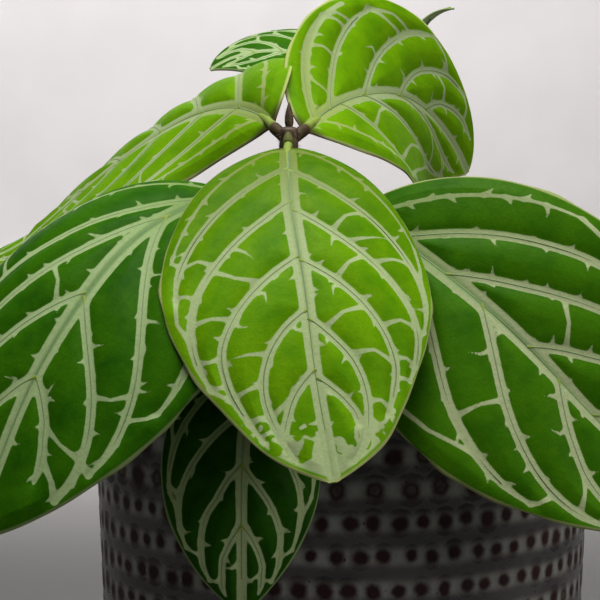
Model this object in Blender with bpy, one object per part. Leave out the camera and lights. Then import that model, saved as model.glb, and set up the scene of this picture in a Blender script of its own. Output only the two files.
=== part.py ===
"""Potted chamaeranthemum: a pot of soil with three leafy shoots, every leaf its own solid.

The part's frame stands at the middle of the pot's base, +Z up, and the viewer of the
photograph stands on the -Y side. Sizes here are millimetres until a mesh is made.
"""

import bmesh
import bpy
import numpy as np

MM = 0.001

# The pot: a turned stoneware cylinder that narrows a little to its foot.
POT_RIM_RADIUS = 56.2
POT_FOOT_RADIUS = 52.0
POT_HEIGHT = 105.0
POT_WALL = 4.0
POT_FLOOR = 5.0
POT_FOOT_ROUND = 2.5
POT_SIDES = 56
RIM_STEPS = 4

# The soil: it fills the pot to a finger's breadth below the rim, heaped a little at the middle.
SOIL_LEVEL = 94.0
SOIL_HEAP = 2.5
SOIL_LUMP = 0.7
SOIL_RINGS = 7
STEM_HOLE_DEPTH = 26.0

# Gap left between pieces that touch, so that each stays a solid of its own.
SEAT = 0.3
SEAT_STEP = 0.1

# The shoots: each stem's foot on the soil and its tip, with its radius at both ends.
SHOOTS = {
    "front": dict(foot=(-12.6, -25.8), tip=(-11.8, -24.4, 157.5), radius=(2.1, 1.5)),
    "back": dict(foot=(20.0, 32.0), tip=(24.5, 48.0, 167.0), radius=(2.0, 1.4)),
    "side": dict(foot=(-24.0, 12.0), tip=(-27.0, 12.0, 138.0), radius=(1.8, 1.3)),
}
STEM_SIDES = 10
STEM_LEAN = 1.3
STEM_COLLAR = 4.0
STEM_STEP = 1.2
KNOT_SWELL = 0.6
KNOT_SPREAD = 2.0

# The bud at each tip, as shares of its radius and length from its foot up.
BUD_LENGTH = 6.5
BUD_RADIUS = 0.95
BUD_SIDES = 8
BUD_SHAPE = ((0.75, 0.0), (1.0, 0.2), (0.95, 0.45), (0.62, 0.72), (0.2, 0.95), (0.06, 1.0))

# The leaves. A midrib starts on its stem at a height, or beside the stem's middle by an
# offset, and bends in its own upright plane: rise is its slope in degrees at the stem, bend
# the change of slope along it and ease the second-order part of that. heading turns from +X
# towards +Y, and turn is its change along the midrib. roll lifts the left half, twist is its
# change along the midrib. fold drops each half from the midrib and curl bends it down further
# towards the edge; each is (left, right). The fine leaves are the large ones seen in full.
LEAF_DEFAULTS = dict(offset=(0, 0), turn=0, bend=0, ease=0, roll=0, twist=0,
                     fold=(5, 5), curl=(25, 25), fine=False)
LEAVES = {
    "leaf_front": dict(
        shoot="front", height=154.0, offset=(0, -0.5), length=86, width=55, petiole=7,
        heading=-93, turn=26, rise=-1, bend=-130, ease=65, roll=3, twist=14,
        fold=(4, 0), curl=(40, 20), fine=True),
    "leaf_lower_left": dict(
        shoot="front", height=140.0, offset=(-0.4, 0), length=96, width=64, petiole=13,
        heading=225, turn=-12, rise=24, bend=-188, ease=98, roll=-13, twist=-19,
        fold=(8, -12), curl=(0, 58), fine=True),
    "leaf_lower_right": dict(
        shoot="front", height=140.0, offset=(1, 0), length=95, width=60, petiole=17,
        heading=-51, turn=47, rise=6, bend=-138, ease=93, roll=50, twist=7,
        fold=(-8, -4), curl=(10, 17), fine=True),
    "leaf_lower_front": dict(
        shoot="front", height=121.0, length=60, width=33, petiole=25,
        heading=-101, turn=1, rise=13, bend=-160, ease=45, roll=-16, twist=7,
        fold=(4, 1), curl=(34, 27)),
    "leaf_upper_left": dict(
        shoot="front", height=156.5, offset=(-2.2, 0.4), length=84, width=59, petiole=6,
        heading=115, turn=61, rise=35, bend=-163, ease=89, roll=-46, twist=50,
        fold=(18, -26), curl=(0, 70), fine=True),
    "leaf_upper_right": dict(
        shoot="front", height=156.5, offset=(2.3, 0.4), length=84.5, width=50, petiole=6,
        heading=63, turn=-7, rise=24, bend=-23, ease=-54, roll=38, twist=63,
        fold=(0, -1), curl=(0, 4), fine=True),
    "leaf_back_high_left": dict(
        shoot="back", height=166.0, offset=(-1, 0), length=51.5, width=32, petiole=8,
        heading=172, turn=6, rise=19, bend=50, ease=-105, roll=-29,
        fold=(-5, -6), curl=(15, 15)),
    "leaf_back_high_right": dict(
        shoot="back", height=166.0, offset=(-2.6, 2.6), length=25, width=10, petiole=4.5,
        heading=176, rise=75, ease=100),
    "leaf_back_mid_left": dict(
        shoot="back", height=141.0, length=64, width=42, petiole=8,
        heading=128, turn=14, rise=6, bend=-100, roll=8),
    "leaf_back_mid_right": dict(
        shoot="back", height=138.0, length=60, width=40, petiole=8,
        heading=46, turn=-10, rise=6, bend=-88, roll=-4),
    "leaf_back_low_right": dict(
        shoot="back", height=121.0, length=64, width=42, petiole=12,
        heading=8, turn=6, rise=20, bend=-120),
    "leaf_back_low_left": dict(
        shoot="back", height=117.0, length=62, width=41, petiole=13,
        heading=92, rise=20, bend=-120),
    "leaf_side_high": dict(
        shoot="side", height=137.0, length=62, width=40, petiole=8,
        heading=156, rise=14, bend=-45, fold=(18, 5), curl=(30, 25)),
    "leaf_side_mid": dict(
        shoot="side", height=128.0, length=56, width=37, petiole=9,
        heading=112, rise=18, bend=-110),
    "leaf_side_low": dict(
        shoot="side", height=116.0, length=60, width=40, petiole=14,
        heading=168, rise=20, bend=-112),
    "leaf_low_right": dict(
        shoot="back", height=115.0, length=58, width=38, petiole=29,
        heading=-44, turn=24, rise=44, bend=-128),
}

# A leaf's section: a blade of even thickness with a rib below that thins towards the tip,
# and a round petiole that flattens into the blade over the first share of its length.
BLADE_THICKNESS = 0.7
LEAF_FULLNESS = 0.72
LEAST_REACH = 0.8
PETIOLE_RADIUS = 1.1
PETIOLE_BLEND = 0.05
RIB_DEPTH = 0.9
RIB_TAPER = 0.6
RIB_SHARE = 0.2
COLUMNS_FINE = (1.0, 0.72, 0.44, 0.2, 0.0, -0.2, -0.44, -0.72, -1.0)
COLUMNS_PLAIN = (1.0, 0.6, 0.2, 0.0, -0.2, -0.6, -1.0)
STATIONS_FINE = 17
STATIONS_PLAIN = 12
FIRST_STATION = 0.12
PETIOLE_STATIONS = 4
CURVE_STEPS = 61

CREASE_DEGREES = 50

# Base colour and roughness of each finish.
FINISHES = {
    "pot": ((0.60, 0.58, 0.53), 0.32),
    "soil": ((0.06, 0.04, 0.03), 0.95),
    "stem": ((0.09, 0.06, 0.03), 0.6),
    "bud": ((0.08, 0.05, 0.03), 0.6),
    "leaf": ((0.12, 0.30, 0.02), 0.5),
}


def clear_scene():
    for ob in list(bpy.data.objects):
        bpy.data.objects.remove(ob, do_unlink=True)


def finish(name):
    """The named finish, made once."""
    if name in bpy.data.materials:
        return bpy.data.materials[name]
    colour, roughness = FINISHES[name]
    mat = bpy.data.materials.new(name)
    mat.use_nodes = True
    shader = mat.node_tree.nodes["Principled BSDF"]
    shader.inputs["Base Color"].default_value = (*colour, 1.0)
    shader.inputs["Roughness"].default_value = roughness
    shader.inputs["Metallic"].default_value = 0.0
    return mat


def add_object(name, bm, finish_name):
    """Make the mesh object from a bmesh in millimetres, with its faces pointing out."""
    bmesh.ops.recalc_face_normals(bm, faces=bm.faces)
    if bm.calc_volume(signed=True) < 0:
        bmesh.ops.reverse_faces(bm, faces=bm.faces)
    bmesh.ops.scale(bm, vec=(MM, MM, MM), verts=bm.verts)
    mesh = bpy.data.meshes.new(name)
    bm.to_mesh(mesh)
    bm.free()
    mesh.shade_smooth()
    mesh.set_sharp_from_angle(angle=np.radians(CREASE_DEGREES))
    mesh.materials.append(finish(finish_name))
    ob = bpy.data.objects.new(name, mesh)
    bpy.context.scene.collection.objects.link(ob)
    return ob


def skin_rings(bm, rings):
    """Join rings of equal length into a skin, and return their vertices ring by ring."""
    loops = [[bm.verts.new(point) for point in ring] for ring in rings]
    count = len(loops[0])
    for low, high in zip(loops, loops[1:]):
        for i in range(count):
            j = (i + 1) % count
            bm.faces.new((low[i], low[j], high[j], high[i]))
    return loops


def close_ends(bm, loops):
    """Close the first and the last ring with one face each."""
    bm.faces.new(list(reversed(loops[0])))
    bm.faces.new(loops[-1])


def circle(radius, z, sides, x=0.0, y=0.0):
    """A level ring of points round a place."""
    turn = np.arange(sides) * 2 * np.pi / sides
    return [(x + radius * np.cos(a), y + radius * np.sin(a), z) for a in turn]


def pot_outer_radius(z):
    return POT_FOOT_RADIUS + (POT_RIM_RADIUS - POT_FOOT_RADIUS) * z / POT_HEIGHT


def pot_inner_radius(z):
    return pot_outer_radius(z) - POT_WALL


def build_pot():
    """The open pot, from its flat base up the wall, over the round rim and down inside."""
    profile = [(pot_outer_radius(0) - POT_FOOT_ROUND, 0.0)]
    for a in (np.pi / 4, np.pi / 2):
        r = pot_outer_radius(POT_FOOT_ROUND) - POT_FOOT_ROUND * (1 - np.sin(a))
        profile.append((r, POT_FOOT_ROUND * (1 - np.cos(a))))
    rim_round = POT_WALL / 2
    rim_z = POT_HEIGHT - rim_round
    rim_middle = pot_outer_radius(rim_z) - rim_round
    for a in np.linspace(0, np.pi, RIM_STEPS + 1):
        profile.append((rim_middle + rim_round * np.cos(a), rim_z + rim_round * np.sin(a)))
    inner_low = POT_FLOOR + POT_FOOT_ROUND
    profile.append((pot_inner_radius(inner_low), inner_low))
    profile.append((pot_inner_radius(POT_FLOOR) - POT_FOOT_ROUND, POT_FLOOR))
    bm = bmesh.new()
    close_ends(bm, skin_rings(bm, [circle(r, z, POT_SIDES) for r, z in profile]))
    return add_object("pot", bm, "pot")


def soil_top(x, y):
    """Height of the soil: a low heap with lumps that die out at the pot's wall."""
    r = np.hypot(x, y) / pot_inner_radius(SOIL_LEVEL)
    lumps = np.sin(0.37 * x + 1.3) * np.sin(0.31 * y + 0.4) + 0.6 * np.sin(0.61 * (x + y))
    return SOIL_LEVEL + SOIL_HEAP * (1 - r ** 2) + SOIL_LUMP * lumps * (1 - r ** 4)


def build_soil():
    """The block of soil that fills the pot, with a plain hole for each stem."""
    low = POT_FLOOR + POT_FOOT_ROUND
    foot_radius = pot_inner_radius(POT_FLOOR) - POT_FOOT_ROUND - SEAT
    rings = [circle(foot_radius, POT_FLOOR + SEAT, POT_SIDES),
             circle(pot_inner_radius(low) - SEAT, low, POT_SIDES)]
    rim = pot_inner_radius(SOIL_LEVEL) - SEAT
    for step in range(SOIL_RINGS):
        r = rim * (1 - step / SOIL_RINGS)
        rings.append([(x, y, soil_top(x, y)) for x, y, _ in circle(r, 0, POT_SIDES)])
    bm = bmesh.new()
    loops = skin_rings(bm, rings)
    bm.faces.new(list(reversed(loops[0])))
    middle = bm.verts.new((0, 0, soil_top(0, 0)))
    for i, vert in enumerate(loops[-1]):
        bm.faces.new((vert, loops[-1][(i + 1) % POT_SIDES], middle))
    soil = add_object("soil", bm, "soil")
    for name, shoot in SHOOTS.items():
        cut_stem_hole(soil, name, shoot)
    return soil


def cut_stem_hole(soil, name, shoot):
    """Cut one stem's hole into the soil, from above down to the hole's depth."""
    x, y = shoot["foot"]
    radius = shoot["radius"][0] + SEAT
    bm = bmesh.new()
    rings = [circle(radius, z, STEM_SIDES, x, y) for z in (SOIL_LEVEL - STEM_HOLE_DEPTH, POT_HEIGHT)]
    close_ends(bm, skin_rings(bm, rings))
    cutter = add_object("cutter_" + name, bm, "soil")
    cutter.hide_render = True
    cutter.display_type = "WIRE"
    cut = soil.modifiers.new("hole_" + name, "BOOLEAN")
    cut.operation = "DIFFERENCE"
    cut.object = cutter


def stem_share(shoot, z):
    """Share of the way from a stem's collar, a little above the soil, to its tip."""
    collar = SOIL_LEVEL + STEM_COLLAR
    return np.clip((z - collar) / (shoot["tip"][2] - collar), 0, 1)


def stem_axis(shoot, z):
    """Middle of a stem at a height: upright to its collar, then leaning to its tip."""
    foot = np.array(shoot["foot"])
    tip = np.array(shoot["tip"][:2])
    return foot + (tip - foot) * stem_share(shoot, z) ** STEM_LEAN


def knots(name):
    """Heights at which leaves grow from a stem."""
    return sorted({leaf["height"] for leaf in LEAVES.values() if leaf["shoot"] == name})


def stem_radius(name, z):
    """Radius of a stem at a height, with a swelling where leaves grow from it."""
    shoot = SHOOTS[name]
    low, high = shoot["radius"]
    swell = max(np.exp(-((z - k) / KNOT_SPREAD) ** 2) for k in knots(name))
    return low + (high - low) * stem_share(shoot, z) + KNOT_SWELL * swell


def build_stem(name):
    """One stem from the bottom of its hole to the tip."""
    shoot = SHOOTS[name]
    top = shoot["tip"][2]
    heights = [SOIL_LEVEL + STEM_COLLAR]
    for k in knots(name):
        heights += [k - 2 * KNOT_SPREAD, k - KNOT_SPREAD, k, k + KNOT_SPREAD]
    spaced = [SOIL_LEVEL - STEM_HOLE_DEPTH + SEAT]
    for z in sorted(heights):
        if z - spaced[-1] > STEM_STEP and top - z > STEM_STEP:
            spaced.append(z)
    rings = []
    for z in [*spaced, top]:
        x, y = stem_axis(shoot, z)
        rings.append(circle(stem_radius(name, z), z, STEM_SIDES, x, y))
    bm = bmesh.new()
    close_ends(bm, skin_rings(bm, rings))
    return add_object("stem_" + name, bm, "stem")


def build_bud(name):
    """The folded young leaves at a stem's tip."""
    x, y, top = SHOOTS[name]["tip"]
    rings = [circle(BUD_RADIUS * r, top + SEAT + BUD_LENGTH * h, BUD_SIDES, x, y)
             for r, h in BUD_SHAPE]
    bm = bmesh.new()
    close_ends(bm, skin_rings(bm, rings))
    return add_object("bud_" + name, bm, "bud")


def half_width(t):
    """Half-width of a blade along its midrib, as a share of the widest."""
    return np.sin(np.pi * np.clip(t, 0, 1)) ** LEAF_FULLNESS


class Midrib:
    """The bent line of one leaf, with its directions: along, left and up at each step."""

    def __init__(self, leaf):
        self.leaf = leaf
        share = np.linspace(0, 1, CURVE_STEPS)
        length = leaf["length"] + leaf["petiole"]
        heading = np.radians(leaf["heading"] + leaf["turn"] * share)
        slope = np.radians(leaf["rise"] + leaf["bend"] * share + leaf["ease"] * share ** 2)
        roll = np.radians(leaf["roll"] + leaf["twist"] * share)
        along = np.stack([np.cos(slope) * np.cos(heading), np.cos(slope) * np.sin(heading),
                          np.sin(slope)], -1)
        side = np.stack([-np.sin(heading), np.cos(heading), 0 * heading], -1)
        upright = np.cross(along, side)
        middle = stem_axis(SHOOTS[leaf["shoot"]], leaf["height"]) + np.array(leaf["offset"])
        step = length / (CURVE_STEPS - 1)
        place = np.zeros_like(along)
        place[1:] = np.cumsum((along[1:] + along[:-1]) / 2 * step, axis=0)
        self.s = share * length
        self.place = place + np.array((*middle, leaf["height"]))
        self.left = side * np.cos(roll)[:, None] + upright * np.sin(roll)[:, None]
        self.up = np.cross(along, self.left)

    def at(self, s):
        """Place, left and up at a distance along the midrib from its root."""
        return [np.array([np.interp(s, self.s, row[:, k]) for k in range(3)])
                for row in (self.place, self.left, self.up)]


def cross_curve(leaf, u, reach):
    """A point across the blade, u from 1 (left) to -1: its place to the left and up from the
    midrib, and the lean of the blade there from level."""
    half = 0 if u > 0 else 1
    start = np.radians(leaf["fold"][half])
    rate = np.radians(leaf["curl"][half]) / (leaf["width"] / 2)
    q = abs(u) * reach
    end = start + rate * q
    if rate == 0:
        across, up = q * np.cos(start), -q * np.sin(start)
    else:
        across, up = (np.sin(end) - np.sin(start)) / rate, (np.cos(end) - np.cos(start)) / rate
    return np.array((np.sign(u) * across, up)), np.sign(u) * end


def leaf_section(leaf, midrib, s, columns):
    """The points of the upper face from left to right, and those of the lower face."""
    place, left, up = midrib.at(s)
    t = np.clip((s - leaf["petiole"]) / leaf["length"], 0, 1)
    reach = max(leaf["width"] / 2 * half_width(t), LEAST_REACH)
    blend = min(t / PETIOLE_BLEND, 1)
    upper, lower = [], []
    for j, u in enumerate(columns):
        middle, lean = cross_curve(leaf, u, reach)
        half = BLADE_THICKNESS / 2 * np.array((np.sin(lean), np.cos(lean)))
        rib = RIB_DEPTH * (1 - RIB_TAPER * t) * max(0.0, 1 - abs(u) / RIB_SHARE)
        a = np.pi * (j + 0.5) / len(columns)
        for side, skin in ((1, upper), (-1, lower)):
            petiole = PETIOLE_RADIUS * np.array((np.cos(a), side * np.sin(a)))
            blade = middle + side * half
            if side < 0:
                blade[1] -= rib
            across, above = petiole + (blade - petiole) * blend
            skin.append(place + left * across + up * above)
    return upper, lower


def petiole_start(leaf, midrib, columns):
    """Distance along the midrib at which the petiole's end face lies a seat off its stem."""
    name = leaf["shoot"]
    for s in np.arange(0, leaf["petiole"], SEAT_STEP):
        upper, lower = leaf_section(leaf, midrib, s, columns)
        room = []
        for x, y, z in [*upper, *lower, midrib.at(s)[0]]:
            away = np.hypot(*((x, y) - stem_axis(SHOOTS[name], z)))
            room.append(away - stem_radius(name, z))
        if min(room) >= SEAT:
            return s
    raise ValueError("a petiole stays inside its stem")


def build_leaf(name):
    """One leaf, its petiole and blade in a single skin of triangles alike on both faces."""
    leaf = {**LEAF_DEFAULTS, **LEAVES[name]}
    midrib = Midrib(leaf)
    columns = COLUMNS_FINE if leaf["fine"] else COLUMNS_PLAIN
    stations = STATIONS_FINE if leaf["fine"] else STATIONS_PLAIN
    start = petiole_start(leaf, midrib, columns)
    petiole = np.linspace(start, leaf["petiole"] - SEAT, PETIOLE_STATIONS)
    share = (1 - np.cos(np.linspace(FIRST_STATION, 1, stations) * np.pi)) / 2
    blade = leaf["petiole"] + leaf["length"] * share
    bm = bmesh.new()
    rings = []
    for s in [*petiole, *blade]:
        upper, lower = leaf_section(leaf, midrib, s, columns)
        rings.append(([bm.verts.new(p) for p in upper], [bm.verts.new(p) for p in lower]))
    last = len(columns) - 1
    for (up_a, low_a), (up_b, low_b) in zip(rings, rings[1:]):
        for j in range(last):
            bm.faces.new((up_a[j], up_a[j + 1], up_b[j + 1]))
            bm.faces.new((up_a[j], up_b[j + 1], up_b[j]))
            bm.faces.new((low_a[j], low_b[j + 1], low_a[j + 1]))
            bm.faces.new((low_a[j], low_b[j], low_b[j + 1]))
        for j in (0, last):
            bm.faces.new((up_a[j], up_b[j], low_b[j]))
            bm.faces.new((up_a[j], low_b[j], low_a[j]))
    for upper, lower in (rings[0], rings[-1]):
        for j in range(last):
            bm.faces.new((upper[j], upper[j + 1], lower[j + 1], lower[j]))
    return add_object(name, bm, "leaf")


def main():
    clear_scene()
    build_pot()
    build_soil()
    for name in SHOOTS:
        build_stem(name)
        build_bud(name)
    for name in LEAVES:
        build_leaf(name)


main()
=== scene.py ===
"""Looks of the potted chamaeranthemum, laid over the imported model.

Every leaf is made again over its own solid as one fine surface that carries its veins, and
the stems, the buds, the soil and the glazed pot get the detail that plain solids lack.
Sizes are millimetres until a mesh is made. The viewer of the photograph stands on the -Y side.
"""

import bmesh
import bpy
import numpy as np
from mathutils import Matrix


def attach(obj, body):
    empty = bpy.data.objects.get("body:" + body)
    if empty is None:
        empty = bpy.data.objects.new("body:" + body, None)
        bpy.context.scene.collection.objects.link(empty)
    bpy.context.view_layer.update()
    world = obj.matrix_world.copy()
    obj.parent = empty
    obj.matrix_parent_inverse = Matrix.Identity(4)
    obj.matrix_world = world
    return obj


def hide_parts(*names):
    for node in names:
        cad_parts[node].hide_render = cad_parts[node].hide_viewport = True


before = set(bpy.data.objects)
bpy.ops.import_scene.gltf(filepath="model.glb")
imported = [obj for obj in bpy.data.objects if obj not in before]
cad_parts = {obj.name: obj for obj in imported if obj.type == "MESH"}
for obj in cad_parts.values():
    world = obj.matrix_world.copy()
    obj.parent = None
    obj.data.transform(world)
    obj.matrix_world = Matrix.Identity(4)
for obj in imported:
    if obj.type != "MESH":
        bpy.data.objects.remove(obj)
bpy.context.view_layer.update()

MM = 0.001
BODY = "root"

# Angles in radians: a full turn, and the limit of the turns that are drawn at random
FULL_TURN = 2 * np.pi
DRAWN_TURN = 6.28

# The pot and its soil, as in the part's source
POT_RIM_RADIUS = 56.2
POT_FOOT_RADIUS = 52.0
POT_HEIGHT = 105.0
POT_WALL = 4.0
POT_FLOOR = 5.0
POT_FOOT_ROUND = 2.5
SOIL_LEVEL = 94.0
SOIL_HEAP = 2.5
SOIL_LUMP = 0.7
SEAT = 0.3

# Detail of the pot. Waves down its wall are (size, radians a millimetre). An uneven circle
# has waves of (share of the radius, waves round, drift with height, start). The ring that it
# stands on is (way in from the foot's radius, height).
POT_SIDES = 180
POT_FOOT_RING = ((6.0, 0.6), (5.5, 0.0), (POT_FOOT_ROUND, 0.0))
POT_FOOT_START = 0.25
POT_FOOT_STEPS = 6
POT_WALL_ENDS = (1.2, 0.8)
POT_WALL_STEPS = 86
POT_RIM_STEPS = 13
POT_INSIDE_START = 2.0
POT_INSIDE_STEPS = 16
POT_WAVES = ((0.012, 1.9), (0.015, 0.83))
POT_UNEVEN = ((0.0003, 2, 0.0, 0.6), (0.0002, 5, 0.05, 0.0))
BARE_RINGS = 4
SPOT_ROWS = (99.2, 6.0)
SPOT_ROW_PITCH = 6.75
PALE_BAND_RISE = 0.75
SPOT_PITCH = 4.9
SPOT_RADIUS = 2.25
RINGED_ROWS = 3
RINGED_PITCH = 6.8
RINGED_RADIUS = 3.1
EYE_CHANCE = (0.75, 0.08)
SPOT_RINGS = ((0.3, 0.02), (0.55, 0.025), (0.8, 0.045), (1.0, 0.03), (1.25, -0.06))
SPOT_SIDES = 12
SPOT_BEND = 0.045
SPOT_RISE = 0.03
SPOT_THICKNESS = 1.3
SPOT_WANDER = 0.09
SPOT_DRIFT = 0.35
SPOT_SIZES = (0.82, 1.12)
SPOT_WIDTHS = (0.9, 1.1)
SPOT_HEIGHTS = (0.92, 1.15)
POT_SEED = 41

# Detail of the soil. Crumbs are (finish, count a square metre, size, stretch), and lumpy
# by noise of a scale of their own.
SOIL_SIDES = 150
SOIL_RINGS = 48
SOIL_MIDDLE = 1.0
CRUMB_SEED = 7
CRUMB_LUMPS = 1.6
CRUMB_WIDTHS = (0.35, 1.0)
CRUMBS = (("soil", 3.4e5, 1.2, 1.0), ("fibre", 6.0e4, 0.5, 6.0), ("perlite", 1.3e4, 1.2, 1.1))

# The stems and buds. Hairs are (count a square metre, length).
SHOOTS = {
    "front": dict(foot=(-12.6, -25.8), tip=(-11.8, -24.4, 157.5), radius=(2.1, 1.5)),
    "back": dict(foot=(20.0, 32.0), tip=(24.5, 48.0, 167.0), radius=(2.0, 1.4)),
    "side": dict(foot=(-24.0, 12.0), tip=(-27.0, 12.0, 138.0), radius=(1.8, 1.3)),
}
STEM_LEAN = 1.3
STEM_COLLAR = 4.0
STEM_DEPTH = 25.7
STEM_STEP = 0.7
STEM_SIDES = 28
STEM_RIBS = ((0.035, 4, 0.02, np.pi / 2), (0.015, 7, 0.4, 0.0))
STEM_HAIRS = (1.6e6, 0.9)
STEM_SEED = 10
DOME_HEIGHT = 0.9
DOME_RINGS = (0.35, 0.65, 0.85)
KNOT_SWELL = 0.6
KNOT_SPREAD = 2.0
BUD_LENGTH = 5.4
BUD_RADIUS = 0.95
BUD_SHAPE = ((0, 0.2, 0.45, 0.72, 0.95, 1), (0.75, 1, 0.95, 0.62, 0.2, 0.05))
BUD_SEAM = 0.28
BUD_SEAM_WIDTH = 0.22
BUD_TURN = 0.5
BUD_SIDES = 24
BUD_RINGS = 22
BUD_BALD_RINGS = 3
BUD_HAIRS = (3e6, 0.45)
BUD_SEED = 20
HAIR_RADII = (0.004, 0.035)
HAIR_LENGTHS = (0.6, 1.3)
HAIR_LEAN = 0.5

# The leaves. Each has its shoot, the height at which it leaves it, the blade's length and
# width, the petiole's length, and in degrees its heading, its first rise and its bend. The
# others are the offset of its root, how its heading turns, its bend eases and its blade rolls
# and twists, the fold and curl of its left and right half, its look, the spacing of its
# points, and the forms of its base and tip.
LEAF_COLUMNS = ("shoot", "height", "length", "width", "petiole", "heading", "rise", "bend")
LEAF_DEFAULTS = dict(offset=(0, 0), turn=0, ease=0, roll=0, twist=0, fold=(5, 5), curl=(25, 25),
                     look="shaded", spacing=0.6, wing=0.0, blunt=0.0, root=(0.0, -3.0),
                     inner=(0.0, -1.4))
LEAVES = {
    "leaf_front": ("front", 154.0, 86, 55, 7, -93, -1, -130, dict(
        offset=(0, -0.5), turn=26, ease=65, roll=3, twist=14, fold=(4, 0), curl=(40, 20),
        look="young", spacing=0.34, blunt=0.15, root=(1.3, 3.0), inner=(2.3, 1.4))),
    "leaf_lower_left": ("front", 140.0, 96, 64, 13, 225, 24, -188, dict(
        offset=(-0.4, 0), turn=-12, ease=98, roll=-13, twist=-19, fold=(8, -12), curl=(0, 58),
        look="deep", spacing=0.42)),
    "leaf_lower_right": ("front", 140.0, 95, 60, 17, -51, 6, -138, dict(
        offset=(1, 0), turn=47, ease=93, roll=50, twist=7, fold=(-8, -4), curl=(10, 17),
        look="grown", spacing=0.42)),
    "leaf_lower_front": ("front", 121.0, 60, 33, 25, -101, 13, -160, dict(
        turn=1, ease=45, roll=-16, twist=7, fold=(4, 1), curl=(34, 27), spacing=0.42)),
    "leaf_upper_left": ("front", 156.5, 84, 59, 6, 115, 35, -163, dict(
        offset=(-2.2, 0.4), turn=61, ease=89, roll=-46, twist=50, fold=(18, -26), curl=(0, 70),
        look="upright", spacing=0.42, wing=2.5)),
    "leaf_upper_right": ("front", 156.5, 84.5, 50, 6, 63, 24, -23, dict(
        offset=(2.3, 0.4), turn=-7, ease=-54, roll=38, twist=63, fold=(0, -1), curl=(0, 4),
        look="upright", spacing=0.42, wing=4.0)),
    "leaf_back_high_left": ("back", 166.0, 51.5, 32, 8, 172, 19, 50, dict(
        offset=(-1, 0), turn=6, ease=-105, roll=-29, fold=(-5, -6), curl=(15, 15), look="deep")),
    "leaf_back_high_right": ("back", 166.0, 25, 10, 4.5, 176, 75, 0, dict(
        offset=(-2.6, 2.6), ease=100, spacing=0.4)),
    "leaf_back_mid_left": ("back", 141.0, 64, 42, 8, 128, 6, -100, dict(
        turn=14, roll=8, look="grown")),
    "leaf_back_mid_right": ("back", 138.0, 60, 40, 8, 46, 6, -88, dict(
        turn=-10, roll=-4, look="grown")),
    "leaf_back_low_right": ("back", 121.0, 64, 42, 12, 8, 20, -120, dict(turn=6)),
    "leaf_back_low_left": ("back", 117.0, 62, 41, 13, 92, 20, -120, dict()),
    "leaf_side_high": ("side", 137.0, 62, 40, 8, 156, 14, -45, dict(
        fold=(18, 5), curl=(30, 25), look="young")),
    "leaf_side_mid": ("side", 128.0, 56, 37, 9, 112, 18, -110, dict(look="grown")),
    "leaf_side_low": ("side", 116.0, 60, 40, 14, 168, 20, -112, dict()),
    "leaf_low_right": ("back", 115.0, 58, 38, 29, -44, 44, -128, dict(turn=24)),
}
LEAF_SEED = 100
LEAF_FULLNESS = 0.72
LEAST_REACH = 0.8
BLUNT_AT = 0.95
BLUNT_SPREAD = 0.07
CURVE_STEPS = 61

# The blade is thinner here than its solid, and lies within it. Edge waves are (share of the
# half-width, length in millimetres). Its rows of points are spread evenly by the first share
# of the spread, and closer at both ends by the second.
UPPER_LIFT = 0.28
LOWER_LIFT = -0.18
PUFF = 0.8
PUFF_SPREAD = 1.8
PUFF_MARGIN = 3.0
LOWER_PUFF = 0.8
EDGE_WAVES = ((0.006, 1.7), (0.008, 4.1))
EDGE_SWAY = 0.3
EDGE_SWAY_LENGTH = 5.3
EDGE_SWAY_ONSET = 8
EDGE_FALL = 0.22
EDGE_FALL_WIDTH = 0.5
GROOVE_DEPTH = 0.14
GROOVE_HALF = 0.7
UNDERSIDE_STEP = 3
ROW_SPREAD = (0.55, 0.45)

# Strands on a leaf: the swollen foot that clasps the stem, the petiole, the keel that it
# becomes under the midrib, the ribs below the side veins, and the sunken lines in the veins
CLASP_LENGTH = 2.2
CLASP_THICKNESS = (0.3, 0.85, 1.15, 1.3, 1.38, 1.42)
CLASP_VALUES = (-1.3, -1.0)
PETIOLE_THICKNESS = 1.05
PETIOLE_SWELL = 0.35
PETIOLE_FADE = 5
PETIOLE_STEPS = 14
OUTER_FOOT_THICKNESS = 0.82
OUTER_FOOT_VALUE = 0.75
KEEL_STEPS = 44
KEEL_PLACES = (0.6, 0.97)
KEEL_TAPER = 0.72
KEEL_TAPER_POWER = 0.6
KEEL_SINK = 0.75
KEEL_SINK_START = -1.0
KEEL_SINK_LENGTH = 5.0
RIB_THICKNESS = (0.5, 0.2)
LINE_THICKNESS = ((0.18, 0.1), (0.15, 0.07))
LINE_SHARE = 0.9
LINE_SINK = 0.35
RIB_SIDES = 8
LINE_SIDES = 5

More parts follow.
